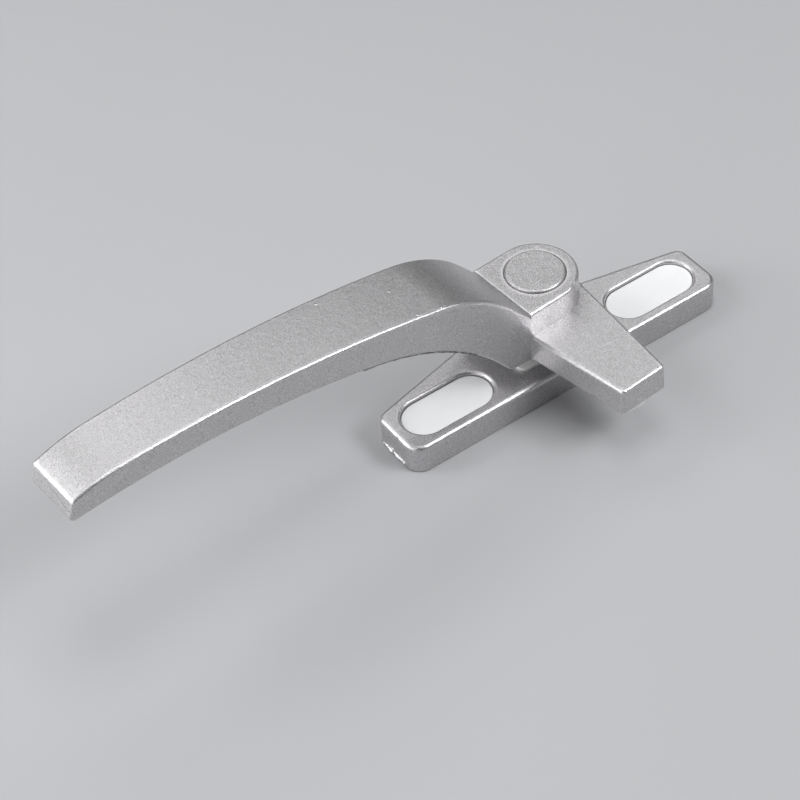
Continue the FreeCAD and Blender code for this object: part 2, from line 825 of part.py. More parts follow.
def make_lever():
    """The curved lever: its side view padded wide, then cut to its view from above."""
    body = new_body("lever_blank")
    profile = new_sketch(body, "lever_side", role="XZ_Plane")
    root = s["hub_flat"]
    root_height = s["foot_height"] + s["hub_height"] - s["lever_step"]
    heel = (s["heel_reach"], s["foot_height"])
    top_end = s["lever_reach"] - s["tip_lean"]
    top = add_top_edge(profile, (root, root_height), top_end)
    under = add_under_edge(profile, top[2], top[3], heel)
    tip_top = profile.getPoint(top[3], END)
    tip_foot = profile.getPoint(under[2], END)
    tip = add_line(profile, (tip_top.x, tip_top.y), (tip_foot.x, tip_foot.y))
    join(profile, top[3], END, tip, START)
    join(profile, tip, END, under[2], END)
    corner = (-root.value, heel[1].value)
    root_top = (-root.value, root_height.value)
    foot = add_line(profile, (-heel[0].value, heel[1].value), corner)
    wall = add_line(profile, corner, root_top)
    join(profile, under[0], START, foot, START)
    join(profile, foot, END, wall, START)
    join(profile, wall, END, top[0], START)
    fix_point(profile, wall, START, -root, heel[1])
    blank = pad(body, "lever_pad", profile, s["hub_radius"] * 3, symmetric=True)

    def at_reach(reach):
        return lambda edge: runs_across(edge) and abs(edge.BoundBox.XMin + reach.value) < NEAR

    blank = round_edges(body, "tip_top", blank, s["tip_rounding"], at_reach(top_end))
    blank = round_edges(
        body, "tip_foot", blank, s["tip_low_rounding"], at_reach(s["lever_reach"])
    )
    blank = round_edges(body, "heel", blank, s["heel_radius"], at_reach(s["heel_reach"]))

    waste = new_sketch(body, "lever_waste")
    for hand in (1, -1):
        add_lever_side(waste, root, hand)
    trimmed = pocket(body, "lever_sides", waste)
    along = lambda edge: not runs_across(edge) and edge.BoundBox.XMin < -root.value - NEAR
    round_edges(body, "lever_rounding", trimmed, s["lever_rounding"], along)
    return body


def add_lever_side(sketch, root, hand):
    """Outlines the waste beside the lever: straight from the tip to the waist, then a flare."""
    wide = s["hub_radius"] * 2
    past = s["lever_reach"] + s["hub_radius"]
    tip = (-s["lever_reach"].value, hand * s["tip_width"].value / 2)
    half_waist = s["hub_radius"] - s["waist_inset"]
    waist = (-s["waist_reach"].value, hand * half_waist.value)
    hub = (-root.value, hand * s["hub_radius"].value)
    slope = math.atan2(waist[1] - tip[1], waist[0] - tip[0])
    normal = (-hand * math.sin(slope), hand * math.cos(slope))
    chord = (hub[0] - waist[0], hub[1] - waist[1])
    rise = chord[0] * normal[0] + chord[1] * normal[1]
    flare = (chord[0] ** 2 + chord[1] ** 2) / (2 * rise)
    centre = (waist[0] + flare * normal[0], waist[1] + flare * normal[1])
    at_waist = math.atan2(waist[1] - centre[1], waist[0] - centre[0])
    at_hub = math.atan2(hub[1] - centre[1], hub[0] - centre[0])
    beyond = (-past.value, tip[1])
    outer = (-past.value, hand * wide.value)
    inner = (-root.value, hand * wide.value)
    side = add_line(sketch, tip, waist)
    if hand > 0:
        curve = add_arc(sketch, centre, flare, at_waist, at_hub)
        near, far = START, END
    else:
        curve = add_arc(sketch, centre, flare, at_hub, at_waist)
        near, far = END, START
    cut_in = add_line(sketch, hub, inner)
    along = add_line(sketch, inner, outer)
    cut_out = add_line(sketch, outer, beyond)
    closing = add_line(sketch, beyond, tip)
    join(sketch, side, END, curve, near, smooth=True)
    join(sketch, curve, far, cut_in, START)
    join(sketch, cut_in, END, along, START)
    join(sketch, along, END, cut_out, START)
    join(sketch, cut_out, END, closing, START)
    join(sketch, closing, END, side, START)
    fix_point(sketch, side, START, -s["lever_reach"], s["tip_width"] / 2 * hand)
    fix_point(sketch, side, END, -s["waist_reach"], half_waist * hand)
    fix_point(sketch, cut_in, START, -root, s["hub_radius"] * hand)
    fix_point(sketch, along, START, -root, wide * hand)
    fix_point(sketch, cut_out, START, -past, wide * hand)
    fix_point(sketch, closing, START, -past, s["tip_width"] / 2 * hand)


def make_hub():
    """The hub: round towards the far end of the base and flat where the lever leaves it."""
    body = new_body("hub_blank")
    outline = new_sketch(body, "hub_outline", height=s["foot_height"])
    radius, back = s["hub_radius"], -s["hub_flat"]
    r, b = radius.value, back.value
    near = add_line(outline, (b, -r), (0, -r))
    nose = add_arc(outline, (0, 0), r, -math.pi / 2, math.pi / 2)
    far = add_line(outline, (0, r), (b, r))
    end = add_line(outline, (b, r), (b, -r))
    join(outline, near, END, nose, START, smooth=True)
    join(outline, nose, END, far, START, smooth=True)
    join(outline, far, END, end, START)
    join(outline, end, END, near, START)
    fix_point(outline, nose, CENTRE, None, None)
    fix_point(outline, end, START, back, radius)
    fix_point(outline, near, START, back, -radius)
    block = pad(body, "hub_pad", outline, s["hub_height"])
    top = s["foot_height"] + s["hub_height"]
    rim = lambda edge, height: lies_at(edge, height) and spread(edge, "X") > NEAR
    block = round_edges(body, "hub_rim", block, s["hub_rounding"], lambda e: rim(e, top))
    foot = s["foot_height"]
    round_edges(body, "hub_foot_rim", block, s["hub_low_rounding"], lambda e: rim(e, foot))
    return body


def make_tongue():
    """The locking tongue, whose sides leave the round flange under the hub as tangents."""
    body = new_body("tongue_blank")
    top = s["foot_height"] + s["tongue_thickness"]
    outline = new_sketch(body, "tongue_outline", height=top)
    radius, half, tip = s["flange_radius"], s["tongue_tip"] / 2, -s["tongue_reach"]
    reach = math.hypot(half.value, tip.value)
    lean = math.atan2(tip.value, half.value) + math.acos(radius.value / reach)
    touch = (radius.value * math.cos(lean), radius.value * math.sin(lean))
    flange = add_arc(outline, (0, 0), radius.value, lean, math.pi - lean)
    left = add_line(outline, (-touch[0], touch[1]), (-half.value, tip.value))
    end = add_line(outline, (-half.value, tip.value), (half.value, tip.value))
    right = add_line(outline, (half.value, tip.value), touch)
    join(outline, flange, END, left, START, smooth=True)
    join(outline, left, END, end, START)
    join(outline, end, END, right, START)
    join(outline, right, END, flange, START, smooth=True)
    fix_point(outline, flange, CENTRE, None, None)
    fix_point(outline, end, START, -half, tip)
    fix_point(outline, end, END, half, tip)
    constrain(outline, radius, "Radius", flange)
    slab = pad(body, "tongue_slab", outline, s["tongue_thickness"])
    slab.Reversed = True
    tie(slab, "TaperAngle", s["tongue_draft_angle"])
    doc.recompute()
    deep = lambda edge: spread(edge, "Z") > s["tongue_thickness"].value - NEAR
    at_tip = lambda edge: deep(edge) and middle(edge).y < tip.value + NEAR
    slab = round_edges(body, "tongue_corners", slab, s["tongue_corner"], at_tip)
    slab = round_edges(
        body, "tongue_rounding", slab, s["tongue_rounding"], lambda e: lies_at(e, top)
    )
    foot = s["foot_height"]
    round_edges(
        body, "tongue_foot", slab, s["tongue_low_rounding"], lambda e: lies_at(e, foot)
    )
    return body


def cylinder(name, radius, height, foot):
    tool = doc.addObject("Part::Cylinder", name)
    tie(tool, "Radius", radius)
    tie(tool, "Height", height)
    tie(tool, "Placement.Base.z", foot)
    return tool


def make_ball_track():
    """The arc groove that lets the ball pass, with a wider dimple for each click."""
    pitch = s["click_pitch"]
    centre = s["ball_rise"] - s["ball_radius"] - s["run_gap"]
    track = doc.addObject("Part::Torus", "ball_track")
    tie(track, "Radius1", pitch)
    tie(track, "Radius2", s["ball_radius"] + s["ball_gap"])
    tie(track, "Angle3", s["shut_angle"] + s["open_angle"])
    turn(track, as_size(360) - s["shut_angle"])
    tie(track, "Placement.Base.z", centre)
    tools = [track]
    for name, angle in (("shut", -s["photo_angle"]), ("open", s["open_angle"])):
        dimple = doc.addObject("Part::Sphere", name + "_dimple")
        tie(dimple, "Radius", s["ball_radius"] + s["dimple_gap"])
        tie(dimple, "Placement.Base.x", pitch * cosine(angle))
        tie(dimple, "Placement.Base.y", pitch * sine(angle))
        tie(dimple, "Placement.Base.z", centre)
        tools.append(dimple)
    return tools


def make_stop_slot():
    """The arc slot for the stop pin, as long as the handle's turn."""
    pitch, wide = s["click_pitch"], s["stop_radius"] + s["stop_gap"]
    ends = degrees_of_sine((s["stop_radius"] + s["run_gap"]) / pitch)
    deep = s["stop_rise"] + s["stop_roof_gap"]
    ring = cylinder("stop_slot_outer", pitch + wide, deep, as_size(0))
    core = cylinder("stop_slot_inner", pitch - wide, deep, as_size(0))
    tie(ring, "Angle", s["shut_angle"] + s["open_angle"] + ends * 2)
    turn(ring, as_size(180) - s["shut_angle"] - ends)
    slot = doc.addObject("Part::Cut", "stop_slot")
    slot.Base = ring
    slot.Tool = core
    return slot


def make_handle():
    """The casting: lever, hub, tongue and foot in one, bored for what turns with it."""
    foot = cylinder("foot_blank", s["foot_radius"], s["foot_height"] * 2, as_size(0))
    casting = doc.addObject("Part::MultiFuse", "handle_casting")
    casting.Shapes = [make_hub(), make_lever(), make_tongue(), foot]
    casting.Refine = True
    hub_top = s["foot_height"] + s["hub_height"]
    seat_foot = hub_top - s["cap_seat"]
    tools = [
        cylinder("bush_bore", s["bush_radius"] + s["set_gap"], s["well_floor"], as_size(0)),
        cylinder("pivot_well", s["well_radius"], hub_top - s["well_floor"], s["well_floor"]),
        cylinder("cap_seat_cut", s["cap_radius"] + s["cap_gap"], s["cap_seat"], seat_foot),
        cylinder(
            "peg_hole",
            s["peg_radius"] + s["set_gap"],
            s["peg_length"] + s["loose_gap"],
            s["foot_height"],
        ),
        make_stop_slot(),
    ]
    tie(tools[3], "Placement.Base.y", -pad_middle())
    tools += make_ball_track()
    cuts = doc.addObject("Part::MultiFuse", "handle_cuts")
    cuts.Shapes = tools
    handle = doc.addObject("Part::Cut", "handle")
    handle.Label = "handle"
    handle.Base = casting
    handle.Tool = cuts
    seat(handle, heights["handle"], turned=True)
    return handle


def make_pivot_cap():
    """The round cap: pressed on its seat in the hub, hollow under its crown."""
    body = new_body("pivot_cap")
    profile = new_sketch(body, "pivot_cap_profile", role="XZ_Plane")
    foot = s["foot_height"] + s["hub_height"] - s["cap_seat"]
    top = foot + s["cap_seat"] + s["cap_rise"]
    radius, inner = s["cap_radius"], s["cap_radius"] - s["cap_wall"]
    corners = [
        (inner, foot),
        (radius, foot),
        (radius, top),
        (0, top),
        (0, top - s["cap_roof"]),
        (inner, top - s["cap_roof"]),
    ]
    add_polygon(profile, corners)
    disc = revolve(body, "pivot_cap_revolve", profile)
    rim = lambda edge: lies_at(edge, top)
    round_edges(body, "pivot_cap_rim", disc, s["cap_rounding"], rim)
    seat(body, heights["handle"], turned=True)
    return body


def make_pivot_bush():
    """The nylon bush in the hub's bore, chamfered at both ends."""
    body = new_body("pivot_bush")
    profile = new_sketch(body, "pivot_bush_profile", role="XZ_Plane")
    inner, outer = s["pin_radius"] + s["run_gap"], s["bush_radius"]
    top, chamfer = s["well_floor"], s["bush_chamfer"]
    corners = [
        (inner, as_size(0)),
        (outer - chamfer, as_size(0)),
        (outer, chamfer),
        (outer, top - chamfer),
        (outer - chamfer, top),
        (inner, top),
    ]
    add_polygon(profile, corners)
    revolve(body, "pivot_bush_revolve", profile)
    seat(body, heights["handle"], turned=True)
    return body


def make_thrust_washer():
    inner = s["pin_radius"] + s["loose_gap"]
    ring = make_ring(
        "thrust_washer", inner, s["thrust_radius"], s["well_floor"], s["thrust_thickness"]
    )
    seat(ring, heights["handle"], turned=True)
    return ring


def pad_middle():
    """How far the middle of the tongue pad is from the pivot."""
    return s["tongue_reach"] - s["pad_tip_gap"] - s["pad_length"] / 2


def make_tongue_pad():
    """The white pad under the tongue's tip, with curved ends and a peg in the tongue."""
    body = new_body("tongue_pad")
    thick, radius = s["pad_thickness"], s["pad_end_radius"]
    outline = new_sketch(body, "tongue_pad_outline", height=s["foot_height"] - thick)
    half = s["pad_width"] / 2
    front = -(s["tongue_reach"] - s["pad_tip_gap"])
    back = front + s["pad_length"]
    swing = math.asin(half.value / radius.value)
    drop = radius.value * (1 - math.cos(swing))
    down, up = -math.pi / 2, math.pi / 2
    low = add_arc(outline, (0, front.value + radius.value), radius.value, down - swing, down + swing)
    high = add_arc(outline, (0, back.value - radius.value), radius.value, up - swing, up + swing)
    right = add_line(outline, (half.value, front.value + drop), (half.value, back.value - drop))
    left = add_line(outline, (-half.value, back.value - drop), (-half.value, front.value + drop))
    join(outline, low, END, right, START)
    join(outline, right, END, high, START)
    join(outline, high, END, left, START)
    join(outline, left, END, low, START)
    fix_point(outline, low, CENTRE, None, front + radius)
    fix_point(outline, high, CENTRE, None, back - radius)
    constrain(outline, radius, "Radius", low)
    constrain(outline, radius, "Radius", high)
    constrain(outline, half, "DistanceX", -1, START, right, START)
    constrain(outline, half, "DistanceX", -1, START, right, END)
    constrain(outline, -half, "DistanceX", -1, START, left, START)
    constrain(outline, -half, "DistanceX", -1, START, left, END)
    block = pad(body, "tongue_pad_block", outline, thick)
    foot = s["foot_height"] - thick
    round_edges(body, "tongue_pad_edges", block, s["pad_rounding"], lambda e: lies_at(e, foot))
    peg = new_sketch(body, "tongue_pad_peg", height=s["foot_height"])
    add_circle(peg, None, -pad_middle(), s["peg_radius"])
    pad(body, "tongue_pad_peg_pad", peg, s["peg_length"])
    seat(body, heights["handle"], turned=True)
    return body


def make_parts():
    washer_foot = s["back_well_depth"] - s["back_washer_thickness"]
    return [
        make_base_plate(),
        make_screw_cover("left_screw_cover", -screw_reach()),
        make_screw_cover("right_screw_cover", screw_reach()),
        make_ring(
            "back_washer",
            s["pin_radius"] + s["set_gap"],
            s["back_washer_radius"],
            washer_foot,
            s["back_washer_thickness"],
        ),
        make_wear_washer(),
        make_pivot_pin(),
        make_disc_spring("lower_disc_spring", heights["lower_spring"], False),
        make_disc_spring("upper_disc_spring", heights["upper_spring"], True),
        make_lock_nut(),
        make_detent_ball(),
        make_detent_spring(),
        make_stop_pin(),
        make_handle(),
        make_pivot_cap(),
        make_pivot_bush(),
        make_thrust_washer(),
        make_tongue_pad(),
    ]


def check_document(parts):
    """Stops if anything failed to build."""
    for thing in doc.Objects:
        if "Invalid" in thing.State or "Error" in thing.State:
            raise ValueError("%s is %s" % (thing.Name, thing.State))
    for piece in parts:
        shape = piece.Shape
        if shape.isNull() or not shape.isValid() or len(shape.Solids) != 1:
            raise ValueError("%s is not one valid solid" % piece.Label)


def write_parts(parts):
    os.makedirs("parts", exist_ok=True)
    for piece in parts:
        piece.Shape.exportStep("parts/%s.step" % piece.Label)
        print("%-20s %10.1f mm3" % (piece.Label, piece.Shape.Volume))


doc = FreeCAD.newDocument("window_locking_handle")
s = make_sheet()
heights = stack()
pieces = make_parts()
doc.recompute()
check_document(pieces)
write_parts(pieces)
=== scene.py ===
import math

import bmesh
import bpy
from mathutils import Matrix, Vector


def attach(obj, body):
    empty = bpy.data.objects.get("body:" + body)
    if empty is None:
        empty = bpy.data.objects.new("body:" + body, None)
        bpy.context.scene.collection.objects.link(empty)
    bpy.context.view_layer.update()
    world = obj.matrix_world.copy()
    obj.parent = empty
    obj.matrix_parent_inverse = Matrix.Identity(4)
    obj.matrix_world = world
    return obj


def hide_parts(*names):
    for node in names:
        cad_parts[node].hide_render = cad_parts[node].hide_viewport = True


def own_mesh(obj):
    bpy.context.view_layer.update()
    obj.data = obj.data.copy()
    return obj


# Looks of the window locking handle: silver paint on die castings, white plastic covers, white
# nylon under the hub and the tongue, plated steel inside. Metres, in the frame of the packed
# model: X along the base, the tongue towards -Y, Z up from the mounting face.

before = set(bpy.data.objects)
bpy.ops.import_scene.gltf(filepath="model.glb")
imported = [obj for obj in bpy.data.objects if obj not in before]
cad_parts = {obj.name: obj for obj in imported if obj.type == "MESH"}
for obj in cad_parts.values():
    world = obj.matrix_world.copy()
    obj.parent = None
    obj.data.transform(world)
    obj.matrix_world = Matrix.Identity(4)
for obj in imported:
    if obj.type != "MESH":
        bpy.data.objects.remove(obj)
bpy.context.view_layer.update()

MM = 0.001


# Node trees


class Value:
    """A number that varies over a surface and takes part in ordinary sums."""

    def __init__(self, nodes, socket):
        self.nodes = nodes
        self.socket = socket

    def sum(self, operation, first, second):
        settings = {"operation": operation}
        return self.nodes.node("ShaderNodeMath", settings, {0: first, 1: second})

    def __add__(self, other):
        return self.sum("ADD", self, other)

    def __radd__(self, other):
        return self.sum("ADD", other, self)

    def __sub__(self, other):
        return self.sum("SUBTRACT", self, other)

    def __rsub__(self, other):
        return self.sum("SUBTRACT", other, self)

    def __mul__(self, other):
        return self.sum("MULTIPLY", self, other)

    def __rmul__(self, other):
        return self.sum("MULTIPLY", other, self)

    def __gt__(self, other):
        return self.sum("GREATER_THAN", self, other)

    def __lt__(self, other):
        return self.sum("LESS_THAN", self, other)


class Nodes:
    """A node tree that grows by one node at a time."""

    def __init__(self, tree):
        self.tree = tree

    def node(self, kind, settings, inputs, output=0):
        """Adds a node, sets it up, feeds its sockets and returns one of its outputs."""
        node = self.tree.nodes.new(kind)
        for name, setting in settings.items():
            if name == "stops":
                self.set_stops(node.color_ramp, setting)
            else:
                setattr(node, name, setting)
        for name, value in inputs.items():
            if isinstance(value, Value):
                self.tree.links.new(value.socket, node.inputs[name])
            else:
                node.inputs[name].default_value = value
        return Value(self, node.outputs[output]) if len(node.outputs) else None

    def set_stops(self, ramp, stops):
        """Gives a colour ramp its grey stops, as pairs of position and level."""
        while len(ramp.elements) > 1:
            ramp.elements.remove(ramp.elements[-1])
        for i, (position, level) in enumerate(stops):
            element = ramp.elements[0] if i == 0 else ramp.elements.new(position)
            element.position = position
            element.color = (level, level, level, 1)


class Finish(Nodes):
    """A material that is built up from nodes on the piece's own coordinates."""

    def __init__(self, name):
        self.material = bpy.data.materials.new(name)
        self.material.use_nodes = True
        super().__init__(self.material.node_tree)
        self.tree.nodes.clear()
        self.place = self.node("ShaderNodeTexCoord", {}, {}, "Object")

    def noise(self, size, detail=2.0, roughness=0.5, place=None):
        """Soft noise whose blotches are about so many metres across, from 0 to 1."""
        inputs = {
            "Vector": place or self.place,
            "Scale": 1 / size,
            "Detail": detail,
            "Roughness": roughness,
        }
        return self.node("ShaderNodeTexNoise", {}, inputs, "Fac")

    def cells(self, size, output="Distance"):
        """Irregular cells about so many metres across."""
        inputs = {"Vector": self.place, "Scale": 1 / size}
        return self.node("ShaderNodeTexVoronoi", {}, inputs, output)

    def chosen(self, size, axis, over):
        """Some of the cells: those whose own random number is over a limit."""
        return self.split(self.cells(size, "Color"), axis) > over

    def dots(self, size, radius, axis, over):
        """Round dots in the middle of some of the cells, with a radius in cells."""
        return (self.cells(size) < radius) * self.chosen(size, axis, over)

    def split(self, vector, axis):
        """One of a vector's three numbers."""
        return self.node("ShaderNodeSeparateXYZ", {}, {0: vector}, axis)

    def ramp(self, value, stops):
        """Maps a number through grey stops."""
        return self.node("ShaderNodeValToRGB", {"stops": stops}, {0: value}, 0)

    def mix(self, share, first, second):
        """Blends two colours."""
        settings = {"data_type": "RGBA"}
        return self.node("ShaderNodeMix", settings, {0: share, 6: first, 7: second}, 2)

    def bump(self, height, depth, strength=1.0, normal=None):
        """Turns a height from 0 to 1 into relief so many metres deep."""
        inputs = {"Height": height, "Distance": depth, "Strength": strength}
        if normal:
            inputs["Normal"] = normal
        return self.node("ShaderNodeBump", {}, inputs, 0)

    def surface(self, **sockets):
        """Closes the material; names use _ where a socket has a space."""
        inputs = {name.replace("_", " "): value for name, value in sockets.items()}
        shader = self.node("ShaderNodeBsdfPrincipled", {}, inputs, 0)
        self.node("ShaderNodeOutputMaterial", {}, {"Surface": shader})
        return self.material


# Silver paint on the castings

# Grain of the paint, and how far from the pivot the hub's coarser grain reaches
FLAKE_SIZE, FLAKE_CONTRAST = 0.31 * MM, 1.75
PATCH_SIZE, PATCH_CONTRAST = 1.7 * MM, 0.12
CLOUD_SIZE, CLOUD_CONTRAST = 22 * MM, 0.10
PAINT_DARK, PAINT_LIGHT = 0.70, 1.24
GRAIN_FROM, GRAIN_TO = 0.1, 0.9
HUB_REACH, HUB_CORE = 15 * MM, 0.6

# Dots: size of the cells, radius in cells, and the random number that picks some of the cells
GLINTS = (0.5 * MM, 0.25, "X", 0.86)
PITS = (7.5 * MM, 0.030, "Y", 0.74)
CHIPS = (1.3 * MM, 0.16, "Z", 0.80)
SPECK_CELL, SPECK_RADIUS, SPECK_OVER = 6.0 * MM, 0.075, 0.60
SCRATCH_GRAIN, SCRATCH_OVER = 1.1 * MM, 0.69
WORN_AREA, WORN_OVER = 7 * MM, 0.60

# Rubbed edges, lightened as worn paint and as a painted highlight on the upper edges: how far the
# surface has to face up, and how open the air about it has to be
UPPER_FROM, UPPER_TO = 0.02, 0.30
OPEN_FROM, OPEN_TO, RAGGED = 0.14, 0.42, 0.2

# How strongly each mark covers the paint, and its tone
GLINT_SHARE, GLINT_TONE = 0.30, 0.96
PIT_SHARE, PIT_SHADE = 0.7, 0.28
SPECK_HIGHLIGHT_SHARE, SPECK_HIGHLIGHT_TONE = 0.7, 0.97
SCRATCH_SHARE, SCRATCH_TONE = 0.30, 0.95
# Rubbed edges: partly worn paint, partly a painted highlight on the upper edges
RUBBED_AND_HIGHLIT_SHARE, RUBBED_AND_HIGHLIT_TONE = 0.68, 0.98
CHIP_SHADE = 0.35

# Relief, with pits and scratches in depths of the grain
EDGE_ROUNDING = 0.45 * MM
PEEL_DEPTH, HUB_PEEL = 0.06 * MM, 1.6
SPECK_HEIGHT = 0.30 * MM
GRAIN_DEPTH, PIT_DEPTH, SCRATCH_DEPTH = 0.045 * MM, 2.0, 0.3

# Gloss: the plain paint's, and how the grain and the marks change its roughness
PAINT_METAL, PAINT_ROUGHNESS = 0.88, 0.385
FLAKE_ROUGH, CLOUD_ROUGH, GLINT_SMOOTH, RUBBED_SMOOTH = 0.22, 0.06, 0.12, 0.08


def silver(level):
    """A nearly neutral silver, with a breath of violet as zinc castings have."""
    return (level * 1.004, level * 0.988, level * 1.008, 1)


def near_hub(finish):
    """1 on the hub and the cap, falling to 0 along the lever, the tongue and the base."""
    across, along = finish.split(finish.place, "X"), finish.split(finish.place, "Y")
    from_pivot = (across * across + along * along) * (1 / HUB_REACH**2)
    return finish.ramp(from_pivot, [(HUB_CORE, 1.0), (1.0, 0.0)])


def raised_specks(finish):
    """Small cones of metal or dust that stand up under the paint; the paint is lightened on them
    as a painted highlight.
    """
    cone = finish.ramp(finish.cells(SPECK_CELL), [(0.0, 1.0), (SPECK_RADIUS, 0.0)])
    return cone * finish.chosen(SPECK_CELL, "X", SPECK_OVER)


def hairline_scratches(finish, moved):
    """Fine short lines that run along the casting in a few worn areas."""
    drawn = {0: moved, "Rotation": (0.0, 0.45, 0.0), "Scale": (0.09, 1.0, 6.0)}
    drawn = finish.node("ShaderNodeMapping", {}, drawn)
    line = finish.noise(SCRATCH_GRAIN, 1.0, 0.5, drawn) > SCRATCH_OVER
    return line * (finish.noise(WORN_AREA, 1.0, 0.5, moved) > WORN_OVER)


def rubbed_and_highlit_edges(finish, flake, reach):
    """Outer edges that face up, painted lighter partly as rubbed paint and partly as a painted
    highlight, found within so many millimetres.
    """
    inside = {"inside": True, "only_local": True, "samples": 8}
    depth = finish.node("ShaderNodeAmbientOcclusion", inside, {"Distance": reach * MM}, "AO")
    facing = finish.split(finish.node("ShaderNodeTexCoord", {}, {}, "Normal"), "Z")
    upper = finish.ramp(facing, [(UPPER_FROM, 0.0), (UPPER_TO, 1.0)])
    openness = 1.0 - depth + (flake - 0.5) * RAGGED
    return finish.ramp(openness, [(OPEN_FROM, 0.0), (OPEN_TO, 1.0)]) * upper


def silver_paint(name, tone, shift, hub_grit=0.0, wear=1.0, reach=1.8):
    """Silver paint on a casting, with the marks that casting and use leave in it.

    tone is how light it is, and shift moves its grain, so that no two castings match. hub_grit
    makes it coarser near the pivot. wear is how brightly the upper edges are painted light,
    partly as rubbed paint and partly as a painted highlight, and reach how many millimetres of
    the casting decide what an edge is.
    """
    finish = Finish(name)
    moved = finish.node("ShaderNodeVectorMath", {"operation": "ADD"}, {0: finish.place, 1: shift})
    rough_cast = near_hub(finish) * hub_grit
    grit = rough_cast + 1.0

    flake = finish.noise(FLAKE_SIZE, 1.0, 0.6, moved)
    patch = finish.noise(PATCH_SIZE, 2.0, 0.5, moved)
    cloud = finish.noise(CLOUD_SIZE, 2.0, 0.5, moved)
    grain = (flake - 0.5) * FLAKE_CONTRAST * grit
    grain = grain + (patch - 0.5) * PATCH_CONTRAST * grit
    grain = grain + (cloud - 0.5) * CLOUD_CONTRAST
    lightness = finish.ramp(grain + 0.5, [(GRAIN_FROM, 0.0), (GRAIN_TO, 1.0)])

    glint = finish.dots(*GLINTS)
    pit = finish.dots(*PITS)
    speck = raised_specks(finish)
    scratch = hairline_scratches(finish, moved)
    # Upper edges painted lighter: partly rubbed paint, partly a painted highlight
    edge = rubbed_and_highlit_edges(finish, flake, reach) * wear
    chip = finish.dots(*CHIPS)

    body = finish.mix(lightness, silver(tone * PAINT_DARK), silver(tone * PAINT_LIGHT))
    body = finish.mix(glint * GLINT_SHARE, body, silver(GLINT_TONE))
    body = finish.mix(pit * PIT_SHARE, body, silver(tone * PIT_SHADE))
    # Specks: raised cones whose near-white tone is a painted highlight
    body = finish.mix(speck * SPECK_HIGHLIGHT_SHARE, body, silver(SPECK_HIGHLIGHT_TONE))
    body = finish.mix(scratch * SCRATCH_SHARE, body, silver(SCRATCH_TONE))
    body = finish.mix(edge * RUBBED_AND_HIGHLIT_SHARE, body, silver(RUBBED_AND_HIGHLIT_TONE))
    body = finish.mix(chip * edge, body, silver(tone * CHIP_SHADE))

    soft_edge = finish.node("ShaderNodeBevel", {"samples": 6}, {"Radius": EDGE_ROUNDING})
    peel = finish.bump(patch * (rough_cast * HUB_PEEL + 1.0), PEEL_DEPTH, 1.0, soft_edge)
    cast = finish.bump(speck, SPECK_HEIGHT, 1.0, peel)
    relief = flake * grit - pit * PIT_DEPTH - scratch * SCRATCH_DEPTH
    rough = (flake - 0.5) * FLAKE_ROUGH + (cloud - 0.5) * CLOUD_ROUGH
    rough = rough - glint * GLINT_SMOOTH - edge * RUBBED_SMOOTH
    return finish.surface(
        Base_Color=body,
        Metallic=PAINT_METAL,
        Roughness=rough + PAINT_ROUGHNESS,
        Normal=finish.bump(relief, GRAIN_DEPTH, 1.0, cast),
    )


# Other finishes


def broken_zinc(name):
    """Bright bare metal where a casting was broken off its runner."""
    finish = Finish(name)
    facet = finish.cells(0.35 * MM)
    grain = finish.noise(0.2 * MM, 3.0, 0.6)
    body = finish.mix(grain, silver(0.62), silver(0.96))
    return finish.surface(
        Base_Color=body,
        Metallic=0.9,
        Roughness=0.30 + (grain - 0.5) * 0.2,
        Normal=finish.bump(facet + grain, 0.08 * MM),
    )


def smooth_white(name):
    """Glossy white plastic with the slight waviness of a moulding."""
    finish = Finish(name)
    wave = finish.noise(5 * MM, 1.0, 0.4)
    speck = finish.noise(0.25 * MM, 2.0, 0.5)
    body = finish.mix(wave, (0.82, 0.83, 0.84, 1), (0.86, 0.87, 0.88, 1))
    relief = finish.bump(wave + speck * 0.05, 0.03 * MM, 0.6)
    return finish.surface(
        Base_Color=body,
        Roughness=0.30 + (speck - 0.5) * 0.08,
        Normal=relief,
        Subsurface_Weight=0.08,
        Subsurface_Radius=(0.002, 0.002, 0.002),
        Subsurface_Scale=0.5,
    )


def nylon(name):
    """Matte white nylon with a faint grain."""
    finish = Finish(name)
    grain = finish.noise(0.3 * MM, 3.0, 0.6)
    cloud = finish.noise(6 * MM)
    body = finish.mix(cloud, (0.84, 0.84, 0.83, 1), (0.90, 0.90, 0.89, 1))
    return finish.surface(
        Base_Color=body,
        Roughness=0.50 + (grain - 0.5) * 0.2,
        Normal=finish.bump(grain, 0.02 * MM, 0.6),
        Subsurface_Weight=0.1,
        Subsurface_Radius=(0.002, 0.002, 0.002),
        Subsurface_Scale=0.5,
    )


def turned_steel(name, light, dark, pitch):
    """Plated steel with the fine rings that turning leaves about the pivot axis."""
    finish = Finish(name)
    rings = finish.node(
        "ShaderNodeTexWave",
        {"wave_type": "RINGS", "rings_direction": "Z"},
        {"Vector": finish.place, "Scale": 1 / pitch, "Distortion": 1.2, "Detail": 2.0},
        "Fac",
    )
    cloud = finish.noise(3 * MM)
    grain = finish.noise(0.12 * MM, 3.0, 0.6)
    body = finish.mix(cloud, dark, light)
    return finish.surface(
        Base_Color=body,
        Metallic=1.0,
        Roughness=0.30 + (grain - 0.5) * 0.14 + (rings - 0.5) * 0.08,
        Normal=finish.bump(rings * 0.6 + grain * 0.4, 0.008 * MM, 0.8),
    )


